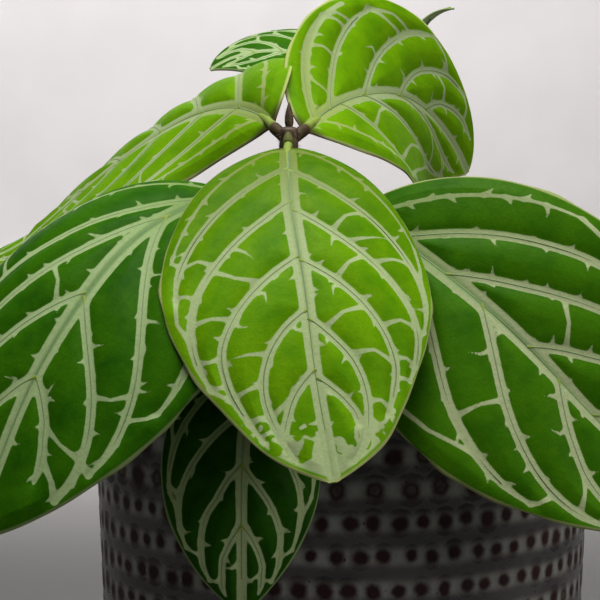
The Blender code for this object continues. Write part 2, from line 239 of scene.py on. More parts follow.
# A side vein leaves the midrib, turns by a bend and ends beside the edge. Each row is
# (start, bend along, bend across, end along, end across): along in hundredths of the blade's
# length from its base, and across in hundredths of its half-width. The left side comes first.
VEINS_PLAIN = ((14, 30, 88, 56, 92), (30, 50, 88, 74, 94), (46, 64, 78, 86, 86),
               (62, 76, 60, 94, 66), (76, 88, 46, 93, 50))
VEINS = {
    "leaf_front": (
        ((17, 36, 97, 65, 94), (33, 58, 99, 78, 94), (48, 67, 78, 86, 81), (63, 80, 62, 96, 64),
         (77, 83, 30, 88, 49)),
        ((16, 28, 85, 53, 89), (30, 46, 85, 76, 94), (47, 62, 82, 89, 85), (61, 72, 57, 94, 62),
         (75, 84, 40, 89, 54))),
    "leaf_lower_left": (
        ((8, 30, 90, 64, 88), (21, 59, 68, 81, 87), (47, 83, 82, 88, 88), (66, 75, 27, 86, 50)),
        ((9, 34, 48, 58, 90), (20, 52, 40, 72, 88), (46, 60, 35, 85, 80), (66, 76, 28, 92, 60))),
    "leaf_lower_right": (
        ((13, 29, 68, 68, 88), (28, 50, 50, 80, 88), (51, 66, 45, 90, 78), (70, 80, 35, 93, 60)),
        ((14, 46, 70, 74, 91), (38, 74, 75, 86, 92), (60, 76, 42, 90, 80), (75, 84, 30, 94, 55))),
    "leaf_lower_front": (
        ((14, 30, 85, 62, 90), (33, 52, 80, 80, 88), (53, 72, 62, 90, 80), (71, 84, 42, 94, 62)),
        ((14, 30, 85, 62, 90), (34, 52, 80, 79, 88), (52, 72, 60, 89, 80), (72, 84, 40, 94, 60))),
    "leaf_upper_right": (
        ((2, 6, 75, 32, 90), (11, 24, 50, 49, 85), (31, 56, 60, 70, 96), (52, 72, 62, 84, 88),
         (68, 82, 45, 93, 70)),
        ((17, 26, 45, 34, 90), (30, 55, 36, 90, 90), (50, 78, 10, 95, 70))),
}
BASE_VEIN = (3, 8, 75, 40, 92)

# The small veins between the side veins. Each row is (vein, place on it, vein, place on it,
# how far it goes): vein 0 is the midrib, the side veins count from the base, and places and
# ways are in hundredths. The left side comes first.
LINKS = {
    "leaf_front": (
        ((2, 19, 1, 38, 100), (2, 26, 1, 54, 90), (2, 23, 3, 10, 40), (2, 40, 1, 67, 100),
         (3, 20, 2, 36, 100), (3, 35, 2, 58, 30), (3, 24, 4, 5, 35), (0, 59, 3, 30, 30),
         (4, 11, 3, 40, 100), (3, 52, 2, 74, 100), (4, 31, 3, 73, 100), (4, 33, 5, 10, 35),
         (3, 69, 2, 92, 100), (5, 100, 4, 74, 90), (4, 61, 3, 97, 100)),
        ((1, 81, 2, 43, 100), (2, 46, 3, 20, 100), (2, 33, 3, 14, 60), (3, 27, 4, 12, 40),
         (2, 71, 3, 41, 100), (3, 36, 2, 62, 30), (3, 42, 4, 25, 40), (4, 34, 3, 61, 85),
         (4, 52, 3, 78, 100), (2, 87, 3, 59, 100), (2, 99, 3, 72, 100), (4, 73, 5, 34, 100),
         (1, 98, 2, 59, 100), (3, 91, 4, 73, 100))),
    "leaf_lower_front": ((), ()),
}

# Half-widths of the veins on a leaf of full width, and how they change along a vein
FULL_HALF = 28.0
VEIN_GROWTH = 0.55
MIDRIB_HALF = 1.8
MIDRIB_TAPER = ((0, 0.1, 0.45, 0.75, 1), (0.7, 1.0, 0.95, 0.7, 0.7))
MIDRIB_SWAY = 0.18
MIDRIB_SWAY_LENGTH = 6.0
MIDRIB_END = 0.985
MIDRIB_STEPS = 50
SIDE_VEIN_HALF = (0.95, 0.82)
SIDE_VEIN_TAPER = ((0, 0.84, 1), (1, 1, 0.42))
BASE_VEIN_HALF = (0.55, 0.3)
ARCH_HALF = (0.55, 0.36, 0.45)
ARCH_PLACE = 0.8
ARCH_MARGIN = 2.2
ARCH_RISE = 1.2
LINK_HALF = (0.6, 0.34, 0.6)
HOOK_HALF = (0.55, 0.3, 0.06)
SPUR_HALF = (0.5, 0.3, 0.03)
ROUTE_STEPS = 28
FIELD_REACH = 5.0
FIELD_SOFTNESS = 0.2

# Limits of the random draws for the small veins: lengths in millimetres, turns in degrees,
# and places and ways as shares. A row shifts in hundredths, like the rows above. A link is
# more often whole in the outer part of a vein, and a spur has a kink beyond its root. The
# midrib's spurs start a little beside its middle.
ROW_SHIFT = (1.5, 2.0)
KINKS = 8
KINK_SIZE = 0.2
LINK_SAG = 0.16
LINK_START = (0.1, 0.25)
LINK_STEP = (0.16, 0.34)
LINK_SLANT = (0.2, 0.32)
LINK_SHORT = (0.2, 0.5)
LINK_LAST = 0.85
LINK_OUTER = 0.45
LINK_WHOLE_CHANCE = (0.65, 0.2)
SPUR_START = (2.5, 6.0)
SPUR_SPACING = (3.0, 7.5)
SPUR_LENGTH = (0.9, 2.4)
SPUR_TURN = (35, 80)
SPUR_KINK = 0.7
SPUR_MARGIN = 1.6
SPUR_ROOT = 0.45
SPUR_WIDE = 0.6
SPUR_ASIDE = 0.3

# The colours of the leaves' upper faces: tissue deep and bright, vein with its core and root,
# and rim. Young leaves have a pale tip, and some darken to their base by painted shade, as where
# light grazes the front leaf's upper part and where the shaded leaves lie under those above.
LEAF_LOOKS = {
    "young": ("4B8102", "689804", "A6B884", "829A62", "8A9E4C", "B4BC78", 1.0, 0.42),
    "upright": ("508003", "659404", "96A878", "84985E", "8A9C54", "A6AE6A"),
    "grown": ("285702", "3A6A03", "A0AC80", "6E8F58", "7F945A", "929C62"),
    "deep": ("1E4F02", "326402", "98AE7A", "5E8247", "748E50", "80905E"),
    "shaded": ("123A03", "245203", "9CAE7C", "648553", "788E54", "7C905E", 0.0, 0.5),
}
# The colour of the painted shade that darkens some blades towards their base
PAINTED_SHADE_COLOUR = "101A02"
LEAF_FOOT = "33241A"

# Finishes whose colour wanders between two. Each is (name, size and detail of the wander, its
# colours, roughness), and where it has pits, their size and detail, depth and strength.
PLAIN_FINISHES = {
    # The sunken line along the middle of each vein: darker grey-green than the band
    "line": ("vein_line", (2.5, 2.0), ("587247", "7A9262"), 0.6),
    # Fine plant hairs: pale and dry, they catch the light at the edges of the stems
    "hair": ("stem_hair", (3.0, 2.0), ("8A7A5C", "B8AD8C"), 0.7),
    # Coir and bark fibre in the compost: dry, warm brown splinters
    "fibre": ("bark_fibre", (1.0, 3.0), ("3E2817", "6E4D2E"), 0.85, ((0.4, 3.0), 0.1, 0.6)),
    # Perlite: white puffed grains of glass rock with a matt, pitted face
    "perlite": ("perlite_grain", (0.6, 3.0), ("B9B3A6", "E4E0D6"), 0.9, ((0.3, 3.0), 0.15, 0.8)),
    # Bare fired clay under the pot, where no glaze can run
    "foot": ("bare_clay", (1.0, 3.0), ("8B7763", "A18C74"), 0.85, ((0.5, 3.0), 0.1, 0.6)),
}

# Socket numbers of the Mix node when it mixes colours
MIX_FACTOR, MIX_A, MIX_B, MIX_RESULT = 0, 6, 7, 2


def hex_colour(text):
    """The linear colour of an sRGB hex value."""
    parts = [int(text[i:i + 2], 16) / 255 for i in (0, 2, 4)]
    linear = [c / 12.92 if c <= 0.04045 else ((c + 0.055) / 1.055) ** 2.4 for c in parts]
    return (*linear, 1.0)


class Nodes:
    """A node tree in the making."""

    def __init__(self, tree):
        self.tree = tree

    def fill(self, node, inputs):
        """Give a node's inputs their values or links."""
        for name, value in inputs.items():
            if isinstance(value, bpy.types.NodeSocket):
                self.tree.links.new(value, node.inputs[name])
            else:
                node.inputs[name].default_value = value

    def add_node(self, kind, inputs=None, **settings):
        """Add a node with its settings, fill its inputs and return its outputs."""
        node = self.tree.nodes.new(kind)
        for name, value in settings.items():
            setattr(node, name, value)
        self.fill(node, inputs or {})
        return node.outputs

    def math(self, operation, *values):
        return self.add_node("ShaderNodeMath", dict(enumerate(values)), operation=operation)[0]

    def times(self, a, b):
        return self.math("MULTIPLY", a, b)


# Materials
class Finish(Nodes):
    """A material in the making, seen in the object's own coordinates."""

    def __init__(self, name):
        self.material = bpy.data.materials.new(name)
        self.material.use_nodes = True
        super().__init__(self.material.node_tree)
        self.place = self.add_node("ShaderNodeTexCoord")["Object"]

    def mix(self, factor, a, b):
        """The mix of two colours, each a socket or a hex value."""
        a, b = [hex_colour(c) if isinstance(c, str) else c for c in (a, b)]
        return self.add_node("ShaderNodeMix", {MIX_FACTOR: factor, MIX_A: a, MIX_B: b},
                             data_type="RGBA")[MIX_RESULT]

    def layers(self, colour, *layers):
        """A colour with others laid over it. Each layer is (factor, colour)."""
        for factor, over in layers:
            colour = self.mix(factor, colour, over)
        return colour

    def noise(self, size, detail=2.0, roughness=0.5, place=None):
        """Noise from 0 to 1 whose features are about size millimetres."""
        return self.add_node("ShaderNodeTexNoise",
                             {"Vector": place or self.place, "Scale": 1 / (size * MM),
                              "Detail": detail, "Roughness": roughness})[0]

    def cells(self, size):
        """Round cells of about size millimetres."""
        return self.add_node("ShaderNodeTexVoronoi",
                             {"Vector": self.place, "Scale": 1 / (size * MM)})

    def ramp(self, value, low, high, to_low=0.0, to_high=1.0):
        """A value eased from one range to another and held at its ends."""
        return self.add_node("ShaderNodeMapRange",
                             {0: value, 1: low, 2: high, 3: to_low, 4: to_high},
                             interpolation_type="SMOOTHSTEP")[0]

    def axis(self, name):
        """One of the object's own coordinates, in metres."""
        return self.add_node("ShaderNodeSeparateXYZ", {0: self.place})[name]

    def value(self, name):
        """A value that the mesh carries on its points."""
        return self.add_node("ShaderNodeAttribute", attribute_name=name)["Fac"]

    def done(self, colour, roughness, bump=None, **others):
        """The finished material. Bump is (height from 0 to 1, its depth in millimetres,
        strength), and the other inputs are written with _ for a space."""
        inputs = {"Base Color": colour, "Roughness": roughness}
        inputs.update({name.replace("_", " "): value for name, value in others.items()})
        if bump:
            height, depth, strength = bump
            inputs["Normal"] = self.add_node("ShaderNodeBump", {
                "Height": height, "Distance": depth * MM, "Strength": strength})["Normal"]
        self.fill(self.tree.nodes["Principled BSDF"], inputs)
        return self.material


def blade_finish(look, deep, bright, vein, core, root, rim, pale_tip=0.0, painted_shade_at_base=0.0):
    """Living leaf, upper face: soft waxy green tissue of tiny cells between pale veins whose
    edges are ragged. It shines a little and shows its veins as a paler, drier net. Some
    blades are darkened towards their base by painted shade."""
    f = Finish(look + "_leaf_face")
    depth, along, edge = [f.value(name) for name in ("vein_depth", "along", "edge_distance")]
    patches = f.ramp(f.noise(9.0, 3.0), 0.35, 0.65)
    near_vein = f.ramp(depth, -2.6, 0.0)
    grain = f.noise(0.7)
    clouds = f.ramp(f.noise(2.8, 3.0, 0.6), 0.35, 0.7)
    tissue = f.layers(deep, (patches, bright), (f.times(near_vein, 0.3), bright),
                      (f.ramp(grain, 0.3, 0.75, 0.0, 0.42), deep),
                      (f.times(clouds, 0.4), bright))
    ragged = f.times(f.math("SUBTRACT", f.noise(1.1, 3.0, 0.6), 0.5), 0.16)
    band = f.ramp(f.math("ADD", depth, ragged), -0.12, 0.12)
    mottled = f.math("ADD", along, f.times(f.noise(2.4, 1.0), 0.3))
    tip = f.times(f.ramp(mottled, 1.052, 1.067, 0.0, pale_tip), f.ramp(edge, 0.7, 1.3))
    pale = f.layers(vein, (f.ramp(along, 0.05, 0.45, 1.0, 0.0), root),
                    (f.ramp(f.noise(0.9), 0.45, 0.8, 0.0, 0.18), bright),
                    (f.ramp(depth, 0.75, 1.6, 0.0, 0.75), core))
    # The pale rim along the edge is partly the margin's own colour and partly a painted highlight
    # where the edge catches the light.
    colour = f.layers(tissue, (f.math("MAXIMUM", band, tip), pale),
                      (f.ramp(edge, 0.2, 0.65, 0.9, 0.0), rim),
                      (f.ramp(along, 0.08, 0.6, painted_shade_at_base, 0.0), PAINTED_SHADE_COLOUR),
                      (f.ramp(along, 0.01, 0.045, 0.85, 0.0), LEAF_FOOT))
    pucker = f.mix(0.7, f.cells(0.42)["Color"], f.noise(2.6))
    return f.done(colour, f.ramp(grain, 0.2, 0.8, 0.4, 0.55), (pucker, 0.2, 0.7), IOR=1.42,
                  Specular_IOR_Level=0.04, Subsurface_Weight=0.1,
                  Subsurface_Radius=(0.4, 1.0, 0.15), Subsurface_Scale=0.6 * MM)


def underside_finish():
    """Living leaf, lower face: paler, drier and duller than the upper one."""
    f = Finish("leaf_underside")
    colour = f.layers("4F7A2C", (f.noise(5.0), "6B9146"),
                      (f.ramp(f.value("vein_depth"), -0.3, 0.2), "A3B583"),
                      (f.ramp(f.value("along"), 0.01, 0.05, 0.9, 0.0), LEAF_FOOT))
    return f.done(colour, 0.6, (f.noise(0.5, 3.0), 0.05, 0.5))


def petiole_finish():
    """Living petiole and rib: juicy yellow-green stalk that turns dark brown at the stem."""
    f = Finish("petiole_skin")
    wander = f.math("ADD", f.value("along"), f.times(f.noise(2.0), 0.3))
    green = f.mix(f.noise(1.5, 3.0), "6F8A30", "8C9E48")
    brown = f.mix(f.noise(0.8), "2B1D12", "4A3220")
    return f.done(f.mix(f.ramp(wander, -0.95, -0.3), brown, green), 0.6,
                  (f.noise(0.4, 3.0), 0.08, 0.6), Specular_IOR_Level=0.2)


def stem_finish():
    """Soft young stem: dark brown skin with a purple cast, ribbed along its length."""
    f = Finish("stem_skin")
    long = f.add_node("ShaderNodeMapping", {"Vector": f.place, "Scale": (1, 1, 0.12)})[0]
    streaks = f.noise(0.5, 3.0, place=long)
    colour = f.layers("2A1B13", (f.ramp(streaks, 0.35, 0.65), "54402A"),
                      (f.ramp(f.noise(6.0), 0.45, 0.7, 0.0, 0.5), "4C5528"))
    return f.done(colour, 0.6, (streaks, 0.15, 0.7))


def soil_finish():
    """Damp peat compost: near black crumbs and brown fibres, dull all over."""
    f = Finish("peat_compost")
    colour = f.layers("1C130D", (f.ramp(f.noise(1.4, 4.0), 0.35, 0.7), "46331F"),
                      (f.ramp(f.noise(12.0), 0.4, 0.7, 0.0, 0.5), "120C08"))
    return f.done(colour, 0.92, (f.noise(0.6, 4.0, 0.7), 0.4, 0.9))


def plain_finish(name, wander, colours, roughness, pits=None):
    """A finish of two colours, with its row in the table above."""
    f = Finish(name)
    colour = f.mix(f.noise(*wander), *colours)
    if pits is None:
        return f.done(colour, roughness)
    grain, depth, strength = pits
    return f.done(colour, roughness, (f.noise(*grain), depth, strength))


def glaze_colour(f):
    """The pot's grey glaze: cloudy, paler and greener in a band along each row of spots, partly
    the glaze's own colour and partly a painted highlight on its raised ridges, with fine dark
    specks of iron from the clay."""
    wander = f.times(f.noise(9.0), 1.5 * MM)
    below_top = f.math("SUBTRACT", f.math("ADD", f.axis("Z"), wander),
                       (SPOT_ROWS[0] + PALE_BAND_RISE) * MM)
    wave = f.math("COSINE", f.times(below_top, FULL_TURN / (SPOT_ROW_PITCH * MM)))
    specks = f.ramp(f.cells(2.2)["Distance"], 0.06, 0.16, 1.0, 0.0)
    rare = f.ramp(f.noise(5.0), 0.5, 0.6)
    # The paler band along each row is the glaze's own colour and, in part, a painted highlight
    return f.layers("343233", (f.ramp(f.noise(14.0, 3.0), 0.35, 0.7), "494646"),
                    (f.ramp(wave, -0.9, 1.0, 0.0, 0.8), "8E8E88"),
                    (f.times(specks, rare), "1C1613"))


def glaze_finish():
    """Stoneware under a grey-white glaze: glassy but softly uneven, with a broad highlight."""
    f = Finish("stoneware_glaze")
    return f.done(glaze_colour(f), f.ramp(f.noise(6.0, 3.0), 0.3, 0.7, 0.26, 0.42),
                  (f.noise(3.0, 3.0), 0.25, 0.5), IOR=1.5)


def spot_finish():
    """Hand-set spots of iron slip under glaze: maroon-brown pools with soft edges, some with
    a pale eye."""
    f = Finish("iron_slip_spot")
    wander = f.times(f.math("SUBTRACT", f.noise(1.8), 0.5), 0.45)
    radius = f.math("ADD", f.value("spot_share"), wander)
    dark = f.mix(f.noise(1.2), "1E0D10", "341818")
    eye = f.times(f.value("eye"), f.ramp(radius, 0.1, 0.5, 1.0, 0.0))
    colour = f.layers(dark, (f.ramp(radius, 0.4, 1.05), glaze_colour(f)), (eye, "55564C"))
    return f.done(colour, 0.62, Specular_IOR_Level=0.2)


def stage_finish(floor, wall):
    """Plain painted board: a grey floor that grows lighter some way behind the pot, on into the
    wall.
    """
    f = Finish("painted_board")
    colour = f.layers(floor, (f.ramp(f.axis("Y"), 0.2, 0.6), wall),
                      (f.ramp(f.noise(60.0), 0.3, 0.7, 0.0, 0.06), floor))
    return f.done(colour, 0.8)


# Geometry Nodes trees
class Growth(Nodes):
    """A tree in the making for a modifier. It has its own inputs beside geometry and
    material."""

    def __init__(self, name, inputs):
        super().__init__(bpy.data.node_groups.new(name, "GeometryNodeTree"))
        sockets = self.tree.interface
        for label, kind in {"Geometry": "Geometry", **inputs, "Material": "Material"}.items():
            sockets.new_socket(label, in_out="INPUT", socket_type="NodeSocket" + kind)
        sockets.new_socket("Geometry", in_out="OUTPUT", socket_type="NodeSocketGeometry")
        self.start = self.add_node("NodeGroupInput")

    def scatter(self, density):
        """Random points on the mesh, as many a square metre as the named input says."""
        return self.add_node("GeometryNodeDistributePointsOnFaces", {
            "Mesh": self.start["Geometry"], "Density": self.start[density],
            "Seed": self.start["Seed"]})

    def random(self, low, high):
        """A random number for each point, or a vector where the limits are vectors."""
        first, kind, result = (0, "FLOAT_VECTOR", 0) if isinstance(low, tuple) else (2, "FLOAT", 1)
        return self.add_node("FunctionNodeRandomValue", {
            first: low, first + 1: high, "Seed": self.start["Seed"]}, data_type=kind)[result]

    def named(self, name, kind="FLOAT_VECTOR"):
        """A value that the mesh carries on its points."""
        return self.add_node("GeometryNodeInputNamedAttribute", {"Name": name},
                             data_type=kind)[0]

    def vector(self, *values):
        return self.add_node("ShaderNodeCombineXYZ", dict(enumerate(values)))[0]

    def set_on(self, points, thing, turn, size):
        """One thing on each point."""
        return self.add_node("GeometryNodeInstanceOnPoints", {
            "Points": points, "Instance": thing, "Rotation": turn, "Scale": size})[0]

    def done(self, geometry):
        """Realize what the tree made, give it its material and hand it out."""
        real = self.add_node("GeometryNodeRealizeInstances", {"Geometry": geometry})[0]
        dressed = self.add_node("GeometryNodeSetMaterial", {
            "Geometry": real, "Material": self.start["Material"]})[0]
        self.add_node("NodeGroupOutput", {"Geometry": dressed})
        return self.tree


def strand_tree():
    """Sweeps each line of the mesh into a round strand as thick as its radius attribute."""
    g = Growth("strands", {"Sides": "Int"})
    curve = g.add_node("GeometryNodeMeshToCurve", {"Mesh": g.start["Geometry"]})[0]
    circle = g.add_node("GeometryNodeCurvePrimitiveCircle", {
        "Resolution": g.start["Sides"], "Radius": 1.0})[0]
    swept = g.add_node("GeometryNodeCurveToMesh", {
        "Curve": curve, "Profile Curve": circle, "Scale": g.named("radius", "FLOAT"),
        "Fill Caps": True})[0]
    return g.done(swept)


def hair_tree():
    """Stands thin hairs on a skin, leaning a little at random."""
    g = Growth("hairs", {"Hairs per square metre": "Float", "Length": "Float", "Seed": "Int"})
    points = g.scatter("Hairs per square metre")
    hair = g.add_node("GeometryNodeMeshCone", {
        "Vertices": 3, "Radius Top": HAIR_RADII[0] * MM, "Radius Bottom": HAIR_RADII[1] * MM,
        "Depth": 1.0 * MM})[0]
    lean = g.random((-HAIR_LEAN,) * 3, (HAIR_LEAN,) * 3)
    turned = g.add_node("FunctionNodeRotateRotation", {0: points["Rotation"], 1: lean},
                        rotation_space="LOCAL")[0]
    length = g.times(g.random(*HAIR_LENGTHS), g.start["Length"])
    return g.done(g.set_on(points[0], hair, turned, g.vector(1.0, 1.0, length)))


def crumb_tree():
    """Strews rough crumbs over a surface, each turned and sized at random."""
    g = Growth("crumbs", {"Crumbs per square metre": "Float", "Size": "Float", "Seed": "Int",
                          "Stretch": "Float"})
    points = g.scatter("Crumbs per square metre")
    ball = g.add_node("GeometryNodeMeshIcoSphere", {"Radius": 1.0, "Subdivisions": 1})[0]
    lumps = g.add_node("ShaderNodeTexNoise", {"Scale": CRUMB_LUMPS, "Detail": 1.0})["Color"]
    pushed = g.add_node("ShaderNodeVectorMath", {0: lumps, 1: (-0.5, -0.5, -0.5)},
                        operation="ADD")[0]
    rough = g.add_node("GeometryNodeSetPosition", {"Geometry": ball, "Offset": pushed})[0]
    turn = g.random((0, 0, 0), (DRAWN_TURN,) * 3)
    across = g.times(g.random(*CRUMB_WIDTHS), g.start["Size"])
    size = g.vector(g.times(across, g.start["Stretch"]), across, across)
    return g.done(g.set_on(points[0], rough, turn, size))


def spot_tree():
    """Sets one spot on each point of the mesh, turned and sized by the point's attributes."""
    g = Growth("spots", {"Spot": "Object"})
    spot = g.add_node("GeometryNodeObjectInfo", {"Object": g.start["Spot"]})["Geometry"]
    return g.done(g.set_on(g.start["Geometry"], spot, g.named("turn"), g.named("size")))


def add_object(name, data):
    ob = bpy.data.objects.new(name, data)
    bpy.context.scene.collection.objects.link(ob)
    return ob


def grown(mesh, tree, settings):
    """The plain mesh that a tree makes of a mesh."""
    holder = add_object("holder", mesh)
    modifier = holder.modifiers.new("grow", "NODES")
    modifier.node_group = tree
    for socket in tree.interface.items_tree:
        if socket.in_out == "INPUT" and socket.name in settings:
            modifier[socket.identifier] = settings[socket.name]
    graph = bpy.context.evaluated_depsgraph_get()
    made = bpy.data.meshes.new_from_object(holder.evaluated_get(graph), depsgraph=graph)
    holder.modifiers.remove(modifier)
    bpy.data.objects.remove(holder)
    return made


# Meshes
def new_mesh(name, points, faces, attributes=None, edges=()):
    """A mesh from points in millimetres, with its named values on its points."""
    mesh = bpy.data.meshes.new(name)
    mesh.from_pydata((np.asarray(points) * MM).tolist(), edges, faces)
    for label, values in (attributes or {}).items():
        values = np.asarray(values, dtype=float)
        kind, field = ("FLOAT_VECTOR", "vector") if values.ndim == 2 else ("FLOAT", "value")
        mesh.attributes.new(label, kind, "POINT").data.foreach_set(field, values.ravel())
    return mesh


def add_piece(node, parts, materials):
    """One smooth piece in place of a node. Parts are meshes, each with the number of its
    material, or with None where its faces have theirs already."""
    bm = bmesh.new()
    for mesh, number in parts:
        if number is not None:
            mesh.polygons.foreach_set("material_index", [number] * len(mesh.polygons))
        bm.from_mesh(mesh)
    mesh = bpy.data.meshes.new(node + "_skin")
    bm.to_mesh(mesh)
    bm.free()
    mesh.shade_smooth()
    for material in materials:
        mesh.materials.append(material)
    piece = add_object(node + "_skin", mesh)
    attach(piece, BODY)
    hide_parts(node)


def strand_mesh(strands):
    """Lines for the strand tree: each strand is (points, radii, along) in millimetres."""
    points, edges, radii, along = [], [], [], []
    for line, radius, share in strands:
        first = len(points)
        points.extend(line)
        edges.extend((first + i, first + i + 1) for i in range(len(line) - 1))
        radii.extend(np.asarray(radius) * MM)
        along.extend(share)
    return new_mesh("strands", points, [], {"radius": radii, "along": along}, edges)


def round_turn(sides):
    """The angles of the corners of a circle."""
    return np.arange(sides) * FULL_TURN / sides


def ring(turn, radius, z, x=0.0, y=0.0):
    """Points round a middle, each at its angle, its radius and its height."""
    return np.stack([x + radius * np.cos(turn), y + radius * np.sin(turn), 0 * turn + z], -1)


def uneven(turn, z, waves):
    """Factors for a radius that waves. A wave is (share, waves round, drift, start)."""
    return 1 + sum(share * np.sin(count * turn + drift * z + start)
                   for share, count, drift, start in waves)


def ring_skin(rings, closed=True):
    """Points and faces of a skin through rings of equal length, closed at both ends."""
    count = len(rings[0])
    number = np.arange(len(rings) * count).reshape(len(rings), count)
    beside = np.roll(number, -1, axis=1)
    faces = np.stack([number[:-1], beside[:-1], beside[1:], number[1:]], -1)
    faces = faces.reshape(-1, 4).tolist()
    if closed:
        faces += [number[0, ::-1].tolist(), number[-1].tolist()]
    return np.concatenate(rings), faces


# Stems and buds
def stem_share(shoot, z):
    """How far a height is from a stem's collar to its tip."""
    collar = SOIL_LEVEL + STEM_COLLAR
    return np.clip((z - collar) / (shoot["tip"][2] - collar), 0, 1)


def stem_axis(shoot, z):
    """Middle of a stem at a height: upright to its collar, then leaning to its tip."""
    foot = np.array(shoot["foot"])
    tip = np.array(shoot["tip"][:2])
    return foot + (tip - foot) * stem_share(shoot, z) ** STEM_LEAN


def stem_radius(name, z):
    """Radius of a stem at a height. It swells at each node."""
    low, high = SHOOTS[name]["radius"]
    heights = {height for shoot, height, *_ in LEAVES.values() if shoot == name}
    swell = max(np.exp(-((z - k) / KNOT_SPREAD) ** 2) for k in heights)
    return low + (high - low) * stem_share(SHOOTS[name], z) + KNOT_SWELL * swell


def add_hairy_piece(node, slot, rings, hairy_rings, hairs, seed, finishes, trees):
    """A piece through rings, with hairs on some of them."""
    skin = new_mesh(slot, *ring_skin(rings))
    bed = new_mesh("bed", *ring_skin(hairy_rings, closed=False))
    density, length = hairs
    coat = grown(bed, trees["hair"], {"Hairs per square metre": density, "Length": length,
                                      "Seed": seed, "Material": finishes["hair"]})
    add_piece(node, [(skin, 0), (coat, 1)], [finishes["stem"], finishes["hair"]])


def build_stem(name, seed, finishes, trees):
    """A ribbed stem from the bottom of its hole to its domed tip."""
    shoot = SHOOTS[name]
    turn = round_turn(STEM_SIDES)
    rings = []
    for z in np.arange(SOIL_LEVEL - STEM_DEPTH, shoot["tip"][2] + 0.01, STEM_STEP):
        radius = stem_radius(name, z) * uneven(turn, z, STEM_RIBS)
        rings.append(ring(turn, radius, z, *stem_axis(shoot, z)))
    above_soil = [one for one in rings if one[0, 2] > SOIL_LEVEL + 1]
    middle = rings[-1].mean(0)
    dome = [middle + (rings[-1] - middle) * np.sqrt(1 - rise ** 2) + (0, 0, DOME_HEIGHT * rise)
            for rise in DOME_RINGS]
    add_hairy_piece("stem_" + name, "stem", rings + dome, above_soil, STEM_HAIRS, seed,
                    finishes, trees)


def build_bud(name, seed, finishes, trees):
    """Two young leaves folded face to face: a slim pointed bud with a seam on each side."""
    x, y, top = SHOOTS[name]["tip"]
    turn = round_turn(BUD_SIDES)
    seamed = 1 - BUD_SEAM * np.exp(-(np.sin(turn + BUD_TURN) / BUD_SEAM_WIDTH) ** 2)
    rings = [ring(turn, BUD_RADIUS * np.interp(h, *BUD_SHAPE) * seamed,
                  top + SEAT + BUD_LENGTH * h, x, y) for h in np.linspace(0, 1, BUD_RINGS)]
    add_hairy_piece("bud_" + name, "bud", rings, rings[:-BUD_BALD_RINGS], BUD_HAIRS, seed,
                    finishes, trees)


# Leaves
class Blade:
    """The bent surface of one leaf. A place on it is s, along the midrib from the blade's
    base, and q, across from the midrib and positive to the left."""

    def __init__(self, name):
        *columns, others = LEAVES[name]
        self.leaf = leaf = {**LEAF_DEFAULTS, **dict(zip(LEAF_COLUMNS, columns)), **others}
        self.length = leaf["length"]
        self.half = leaf["width"] / 2
        self.wing = leaf["wing"]
        self.middle = stem_axis(SHOOTS[leaf["shoot"]], leaf["height"])
        share = np.linspace(0, 1, CURVE_STEPS)
        whole = leaf["length"] + leaf["petiole"]
        heading = np.radians(leaf["heading"] + leaf["turn"] * share)
        slope = np.radians(leaf["rise"] + leaf["bend"] * share + leaf["ease"] * share ** 2)
        roll = np.radians(leaf["roll"] + leaf["twist"] * share)
        ahead = np.stack([np.cos(slope) * np.cos(heading), np.cos(slope) * np.sin(heading),
                          np.sin(slope)], -1)
        side = np.stack([-np.sin(heading), np.cos(heading), 0 * heading], -1)
        upright = np.cross(ahead, side)
        step = whole / (CURVE_STEPS - 1)
        place = np.zeros_like(ahead)
        place[1:] = np.cumsum((ahead[1:] + ahead[:-1]) / 2 * step, axis=0)
        self.run = share * whole - leaf["petiole"]
        self.place = place + np.array((*(self.middle + leaf["offset"]), leaf["height"]))
        self.left = side * np.cos(roll)[:, None] + upright * np.sin(roll)[:, None]
        self.up = np.cross(ahead, self.left)

    def reach(self, s):
        """Half-width of the blade at a distance along it. Its wing runs down the petiole,
        and a blunt blade is fuller beside its tip."""
        t = np.clip((s + self.wing) / (self.length + self.wing), 0, 1)
        fuller = 1 + self.leaf["blunt"] * np.exp(-((t - BLUNT_AT) / BLUNT_SPREAD) ** 2)
        return np.maximum(self.half * np.sin(np.pi * t) ** LEAF_FULLNESS * fuller, LEAST_REACH)

    def edge_distance(self, s, q):
        """Distance from a place to the blade's outline."""
        slope = (self.reach(s + 0.2) - self.reach(s - 0.2)) / 0.4
        return (self.reach(s) - np.abs(q)) / np.sqrt(1 + slope ** 2)

    def point(self, s, q, lift):
        """Points in space, lifted off the middle of the blade along its face."""
        place, left, up = [np.stack([np.interp(s, self.run, row[:, k]) for k in range(3)], -1)
                           for row in (self.place, self.left, self.up)]
        right = (q < 0).astype(int)
        start = np.radians(np.array(self.leaf["fold"], float))[right]
        rate = np.radians(np.array(self.leaf["curl"], float))[right] / self.half
        away = np.abs(q)
        end = start + rate * away
        straight = np.abs(rate) < 1e-9
        safe = np.where(straight, 1.0, rate)
        across = np.where(straight, away * np.cos(start), (np.sin(end) - np.sin(start)) / safe)
        above = np.where(straight, -away * np.sin(start), (np.cos(end) - np.cos(start)) / safe)
        sign = np.where(right, -1.0, 1.0)
        across = sign * across + lift * np.sin(sign * end)
        above = above + lift * np.cos(sign * end)
        return place + left * across[:, None] + up * above[:, None]


def curve_through(w, start, bend, end):
    """A curve from a start to an end that is drawn towards a bend."""
    return (1 - w) ** 2 * start + 2 * w * (1 - w) * bend + w ** 2 * end


